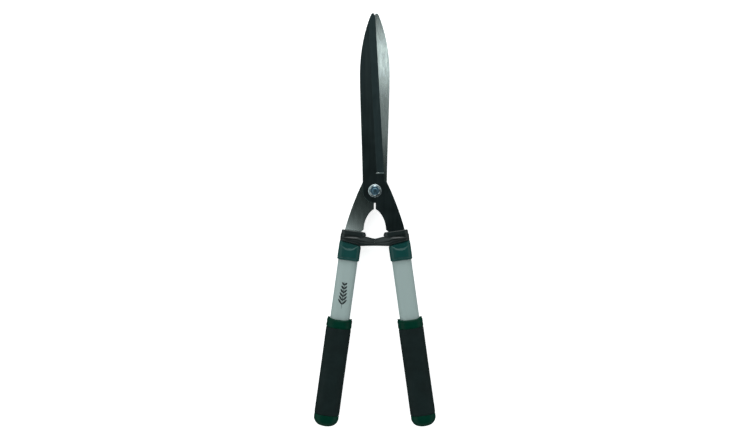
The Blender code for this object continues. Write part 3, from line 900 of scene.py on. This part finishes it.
def make_grip(name, place, body, replaced):
    """Soft sleeve: its top follows the ring's curved foot, its lower end the cap's curved rim."""
    foot = dipped(1.3)
    cap = dipped(1.2)
    top = GRIP_TOP + RING_LENGTH - GAP
    end = CAP_TOP - 0.5
    bore = 1.7
    profile = [(top, bore, foot), (top, 0.9, foot), (top + 0.3, 0.4, foot), (top + 0.9, 0.12, foot),
               (top + 1.8, 0.0, foot), (top + 12, 0.0), (top + 40, 0.1), (end - 30, 0.1),
               (end - 10, 0.0), (end - 1.4, 0.0, cap), (end - 0.6, 0.15, cap), (end - 0.1, 0.5, cap),
               (end, 0.9, cap), (end, bore, cap)]
    mesh = handle_mesh(name, GRIP_SECTION, profile, closed=True)
    piece = add_piece(name + "_sleeve", mesh, place, body, ("grip",), (replaced,))
    keep_flats_flat(piece)


def make_end_cap(name, place, body, replaced):
    """Cap with a round end and a hollow spigot in the tube's end."""
    rim = dipped(1.2)
    corner, end_radius = 7.0, 33
    spigot_bore, spigot_side = 8.5, 5.5
    spigot_top = CAP_TOP - 14

    def end_line(x):
        return -x * x / (2 * end_radius)

    profile = [(CAP_TOP + 9, spigot_bore), (spigot_top, spigot_bore), (spigot_top, spigot_side + 0.5),
               (spigot_top + 0.5, spigot_side), (CAP_TOP + 0.2, spigot_side), (CAP_TOP + 0.2, 1.7, rim),
               (CAP_TOP - 0.2, 0.9, rim), (CAP_TOP + 0.1, 0.3, rim), (CAP_TOP + 0.7, 0.0, rim),
               (CAP_TOP + 3.0, 0.0, dipped(0.6)), *rim_out(HANDLE_END - 0.4, 0.0, corner, 10, end_line),
               (HANDLE_END - 0.3, 7.5, end_line), (HANDLE_END - 0.15, 9.5, end_line),
               (HANDLE_END, 12.4, end_line)]
    mesh = handle_mesh(name, CAP_SECTION, profile)
    piece = add_piece(name + "_shell", mesh, place, body, ("deep_green",), (replaced,))
    keep_flats_flat(piece)


def leaf_strip(bm, root, heading, length, width, surface):
    """A pointed leaf laid on the tube: root and heading are in the tube's plan."""
    steps = 12
    rows = []
    for step in range(steps + 1):
        t = step / steps
        middle = root + length * t * Vector((math.sin(heading), math.cos(heading)))
        half = 0.5 * width * math.sin(math.pi * (0.04 + 0.92 * t)) ** 0.8
        side = Vector((math.cos(heading), -math.sin(heading))) * half
        rows.append([middle - side, middle, middle + side])
    grid = []
    for row in rows:
        grid.append([bm.verts.new(Vector((p.x, -p.y, -surface(p.x))) * MM) for p in row])
    for first, second in zip(grid, grid[1:]):
        for index in (0, 1):
            bm.faces.new((first[index], first[index + 1], second[index + 1], second[index]))


def make_print(name, place, body):
    """A plain sprig printed on the left tube: a stem and pairs of leaves."""
    width, thickness, corner = TUBE_SECTION
    flat = width / 2 - corner
    lift = 0.05

    def surface(across):
        out = max(0.0, abs(across) - flat)
        return thickness / 2 - corner + math.sqrt(corner ** 2 - out ** 2) + lift

    bm = bmesh.new()
    stem_top, stem_foot = 128.0, 167.0
    stem_width, leaf_width, leaf_angle = 0.9, 2.7, math.radians(38)
    leaf_strip(bm, Vector((0, stem_foot)), math.pi, stem_foot - stem_top, stem_width, surface)
    for pair in range(6):
        root = stem_foot - 6.0 - 5.4 * pair
        length = 9.2 - 0.8 * pair
        for side in (-1, 1):
            heading = math.pi - side * leaf_angle
            leaf_strip(bm, Vector((0.3 * side, root)), heading, length, leaf_width, surface)
    mesh = finish_mesh(name, bm)
    piece = add_piece(name, mesh, place, body, ("ink",))
    modifier = piece.modifiers.new("ink thickness", "SOLIDIFY")
    modifier.thickness = 0.08 * MM
    modifier.offset = 0.0


def make_half(side, half, body, blade, square_hole):
    """One half of the tool, all on one body. Each piece takes the place of the CAD node it is named after."""
    place = half @ HANDLE
    make_blade(blade, half, body, square_hole)
    make_buffer(side + "_buffer", half, body, side + "_buffer")
    make_ferrule(side + "_ferrule", place, body, side + "_ferrule")
    make_tube(side + "_tube", place, body, side + "_tube")
    make_grip_core(side + "_grip_core", place, body, side + "_grip_core")
    make_grip(side + "_grip", place, body, side + "_grip")
    make_end_cap(side + "_end_cap", place, body, side + "_end_cap")


# Pivot

def dressed_hexagon(across_flats, bottom, top, shoulder):
    """Hexagon bar with its corners turned off at both ends and a round collar above."""
    corner = across_flats / math.sqrt(3)
    flat = across_flats / 2

    def hexagon(angle):
        turn = (angle + math.pi / 2) % (math.pi / 3) - math.pi / 6
        return flat / math.cos(turn)

    def dressed(limit):
        return lambda angle: min(hexagon(angle), limit)

    collar, collar_edge = 6.0, 0.5
    profile = [(flat - 0.2, bottom)]
    profile += [(dressed(flat + 0.15 + (corner - flat) * step / 4), bottom + 0.14 * step)
                for step in range(5)]
    profile += [(dressed(corner - (corner - flat) * step / 6), shoulder - 0.75 + 0.12 * step)
                for step in range(7)]
    profile += [(collar + 0.25, shoulder), (collar, shoulder + 0.2), (collar, top - collar_edge)]
    profile += [(collar - collar_edge + collar_edge * math.cos(math.radians(angle)),
                 top - collar_edge + collar_edge * math.sin(math.radians(angle))) for angle in (30, 60, 90)]
    return profile


def make_nut(bottom, top):
    """Locking nut with a recess for the insert.

    Its size is assumed. The hexagon beyond the collar takes the bright zinc look, a painted highlight round
    the dark collar.
    """
    profile = dressed_hexagon(NUT_ACROSS_FLATS, bottom, top, top - 1.7)
    recess, painted_highlight_from = 5.25, 6.35
    floor = top - 2.2
    profile += [(recess + 0.2, top), (recess, top - 0.2), (recess, floor), (HOLE_RADIUS, floor),
                (HOLE_RADIUS, bottom + 0.5), (HOLE_RADIUS + 0.5, bottom)]
    mesh = turned_mesh("pivot_nut_dressed", profile, closed=True, steps=96)
    piece = add_piece("pivot_nut_dressed", mesh, FRONT_HALF, "rear_half", ("nut", "zinc"),
                      ("pivot_nut",), smooth_angle=22)
    # Painted highlight: faces beyond this radius take the bright zinc look.
    for face in piece.data.polygons:
        if face.center.xy.length > painted_highlight_from * MM:
            face.material_index = 1


def make_washer(bottom, top):
    """Washer whose top falls away towards a round edge."""
    outer, edge, cone_drop = 9.2, 0.3, 0.5
    profile = [(HOLE_RADIUS + 0.2, top), (6.9, top), (7.3, top - 0.04), (8.0, top - 0.22)]
    profile += [(outer - edge + edge * math.sin(math.radians(angle)),
                 top - cone_drop - edge + edge * math.cos(math.radians(angle))) for angle in (15, 40, 65, 90)]
    profile += [(outer, bottom + 0.15), (outer - 0.15, bottom), (HOLE_RADIUS, bottom),
                (HOLE_RADIUS, top - 0.2)]
    mesh = turned_mesh("pivot_washer_plate", profile, closed=True)
    add_piece("pivot_washer_plate", mesh, FRONT_HALF, "rear_half", ("zinc",), ("pivot_washer",))


def make_insert(bottom, top):
    """Nylon locking ring in the nut's recess."""
    outer = 5.1
    profile = [(HOLE_RADIUS, top - 0.2), (HOLE_RADIUS + 0.2, top), (outer - 0.2, top), (outer, top - 0.2),
               (outer, bottom), (HOLE_RADIUS, bottom)]
    mesh = turned_mesh("nut_insert_ring", profile, closed=True)
    add_piece("nut_insert_ring", mesh, FRONT_HALF, "rear_half", ("nylon",), ("nut_insert",))


def make_bolt(head_top, end):
    """Low round head, square neck, shank with a rolled thread above the blades."""
    shank, pitch, depth = 4.0, 1.25, 0.55
    head, head_rim = 10.0, 1.4
    foot = head_top - 4.4
    neck, neck_corner = 4.0, 5.28

    def square(angle):
        turn = (angle + math.pi / 4) % (math.pi / 2) - math.pi / 4
        return min(neck / math.cos(turn), neck_corner)

    def thread(height, fade):
        def radius(angle):
            phase = (height / pitch - angle / (2 * math.pi)) % 1.0
            return shank - fade * depth * abs(2 * phase - 1)
        return radius

    profile = [(2.0, foot + 0.25), (2.4, foot + 0.08), (5.4, foot)]
    profile += [(head * math.cos(math.radians(angle)) ** 0.6,
                 head_top - head_rim - 2.9 * math.sin(math.radians(angle)) ** 1.1)
                for angle in (62, 52, 42, 32, 22, 12, 4)]
    profile += [(head, head_top - 1.2), (head, head_top - 0.3), (head - 0.2, head_top), (6.0, head_top)]
    profile += [(square, head_top), (square, -GAP - 0.3), (shank, -GAP)]
    start = BLADE_TOP + GAP
    rows = 60
    for row in range(rows + 1):
        height = start + (end - 1.0 - start) * row / rows
        profile.append((thread(height, min(1.0, row / 6)), height))
    profile += [(thread(end - 0.5, 0.4), end - 0.5), (shank - 0.9, end), (1.0, end)]
    mesh = turned_mesh("pivot_bolt_steel", profile, steps=48)
    add_piece("pivot_bolt_steel", mesh, FRONT_HALF, "rear_half", ("nut",), ("pivot_bolt",))


def make_pivot():
    """Bolt, washer, nut and insert, stacked up through the hubs."""
    washer_bottom = BLADE_TOP + GAP
    washer_top = washer_bottom + WASHER_THICKNESS
    nut_bottom = washer_top + GAP
    nut_top = nut_bottom + NUT_HEIGHT
    make_bolt(-BLADE_TOP - GAP, nut_top + 0.3)
    make_washer(washer_bottom, washer_top)
    make_nut(nut_bottom, nut_top)
    make_insert(nut_top - 1.9, nut_top - 0.2)


def dress_hidden_nodes():
    """The CAD's own tang plugs and rivets stay, with procedural materials."""
    for side in ("left", "right"):
        for node, look in (("_tang_plug", "plug"), ("_rivet", "rivet")):
            frame["nodes"][side + node].material_slots[0].material = LOOKS[look]


# Stage

def add_softbox(name, location, target, size, power):
    """A rectangular light that looks at a target."""
    light = bpy.data.lights.new(name, "AREA")
    light.shape = "RECTANGLE"
    light.size, light.size_y = size
    light.energy = power
    item = bpy.data.objects.new(name, light)
    bpy.context.scene.collection.objects.link(item)
    item.location = location
    item.rotation_euler = (Vector(target) - Vector(location)).to_track_quat("-Z", "Y").to_euler()


def make_floor():
    """A wide pale table just under the tool. Its glow reaches the camera but not the pieces."""
    bm = bmesh.new()
    bmesh.ops.create_grid(bm, x_segments=8, y_segments=8, size=6.0)
    mesh = bpy.data.meshes.new("floor")
    bm.to_mesh(mesh)
    bm.free()
    mesh.materials.append(LOOKS["floor"])
    floor = bpy.data.objects.new("floor", mesh)
    bpy.context.scene.collection.objects.link(floor)
    floor.location.z = cad_box[0][2] - 0.0002
    floor.visible_glossy = False
    floor.visible_diffuse = False


def make_world():
    """A pale studio tent: dark where it is open overhead, and dim again below the table's level."""
    pale, dark = 1.25, 0.036
    lean = Vector((0.13, -0.19, 1.0)).normalized()
    world = bpy.data.worlds.new("studio")
    world.use_nodes = True
    nodes = world.node_tree.nodes
    links = world.node_tree.links
    background = nodes["Background"]
    background.inputs["Color"].default_value = (0.92, 1.0, 0.99, 1.0)
    direction = nodes.new("ShaderNodeTexCoord")

    def band(axis, start, end, low, high):
        """From low to high between two angles from an axis, in degrees."""
        height = nodes.new("ShaderNodeVectorMath")
        height.operation = "DOT_PRODUCT"
        height.inputs[1].default_value = axis
        links.new(direction.outputs["Generated"], height.inputs[0])
        ramp = nodes.new("ShaderNodeMapRange")
        ramp.interpolation_type = "SMOOTHSTEP"
        ramp.inputs["From Min"].default_value = math.cos(math.radians(start))
        ramp.inputs["From Max"].default_value = math.cos(math.radians(end))
        ramp.inputs["To Min"].default_value = low
        ramp.inputs["To Max"].default_value = high
        links.new(height.outputs["Value"], ramp.inputs["Value"])
        return ramp.outputs["Result"]

    opening = band(lean, 54, 26, pale, dark)
    horizon = band((0, 0, 1), 105, 70, 0.1, 1.0)
    strength = nodes.new("ShaderNodeMath")
    strength.operation = "MULTIPLY"
    links.new(opening, strength.inputs[0])
    links.new(horizon, strength.inputs[1])
    links.new(strength.outputs["Value"], background.inputs["Strength"])
    bpy.context.scene.world = world


def make_camera():
    """Straight above the middle of the tool, with its long side up the frame."""
    frame_width = 1.057
    distance = 1.75
    camera = bpy.data.cameras.new("camera")
    camera.sensor_width = 36.0
    camera.lens = camera.sensor_width * distance / frame_width
    camera.clip_end = 50.0
    item = bpy.data.objects.new("camera", camera)
    bpy.context.scene.collection.objects.link(item)
    item.location = (0.0003, -0.0001, PIVOT.z + distance)
    bpy.context.scene.camera = item


def make_lights():
    """Small lights that the bare steel mirrors on the blade and by the buffers, and one for upper edges."""
    add_softbox("tip_light", (0.02, 0.306, 0.613), (0.012, 0.228, 0.013), (0.08, 0.08), 0.045)
    add_softbox("middle_light", (0.018, 0.180, 0.613), (0.014, 0.134, 0.013), (0.08, 0.08), 0.0072)
    add_softbox("edge_light", (0.0, 0.9, 0.32), (0.0, -0.1, 0.013), (0.8, 0.25), 3.9)
    add_softbox("arm_light", (-0.054, -0.036, 0.36), (-0.045, -0.03, 0.013), (0.03, 0.03), 0.009)


bpy.context.scene.view_settings.view_transform = "Standard"
make_half("right", FRONT_HALF, "front_half", "front_blade", False)
make_half("left", REAR_HALF, "rear_half", "rear_blade", True)
make_print("left_tube_print", REAR_HALF @ HANDLE, "rear_half")
make_pivot()
dress_hidden_nodes()
make_floor()
make_world()
make_lights()
make_camera()
